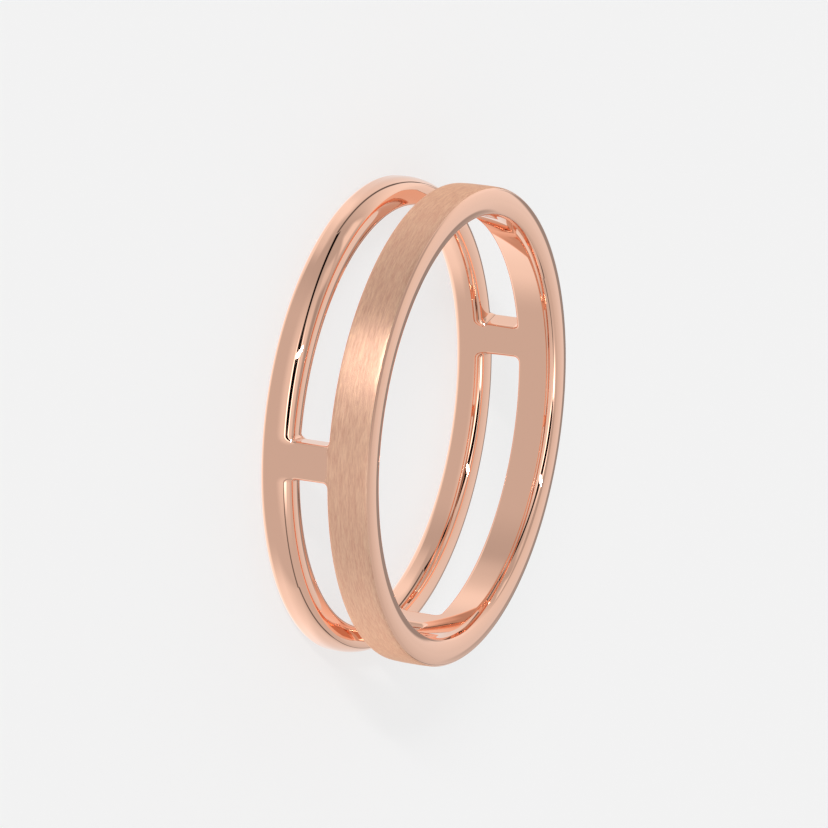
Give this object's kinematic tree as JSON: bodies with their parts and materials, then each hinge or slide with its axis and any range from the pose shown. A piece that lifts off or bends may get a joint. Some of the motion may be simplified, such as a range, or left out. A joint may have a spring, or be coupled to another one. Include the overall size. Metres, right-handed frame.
{
  "type": "openwork band ring",
  "caption": "Openwork finger ring: a brushed band and a polished band side by side, joined by short bars across an open slot.",
  "frame": {"origin": "centre of the polished band's side face, which the ring rests on", "axes": "+Z along the finger hole's axis, from the polished band to the brushed band; the palm side bar is near +X"},
  "size_m": [0.0198, 0.0198, 0.0048],
  "materials": {
    "rose_gold": "polished rose gold, with a satin brushed outer face on the upper band"
  },
  "bodies": {
    "root": {"ring": "rose_gold"}
  },
  "joints": []
}
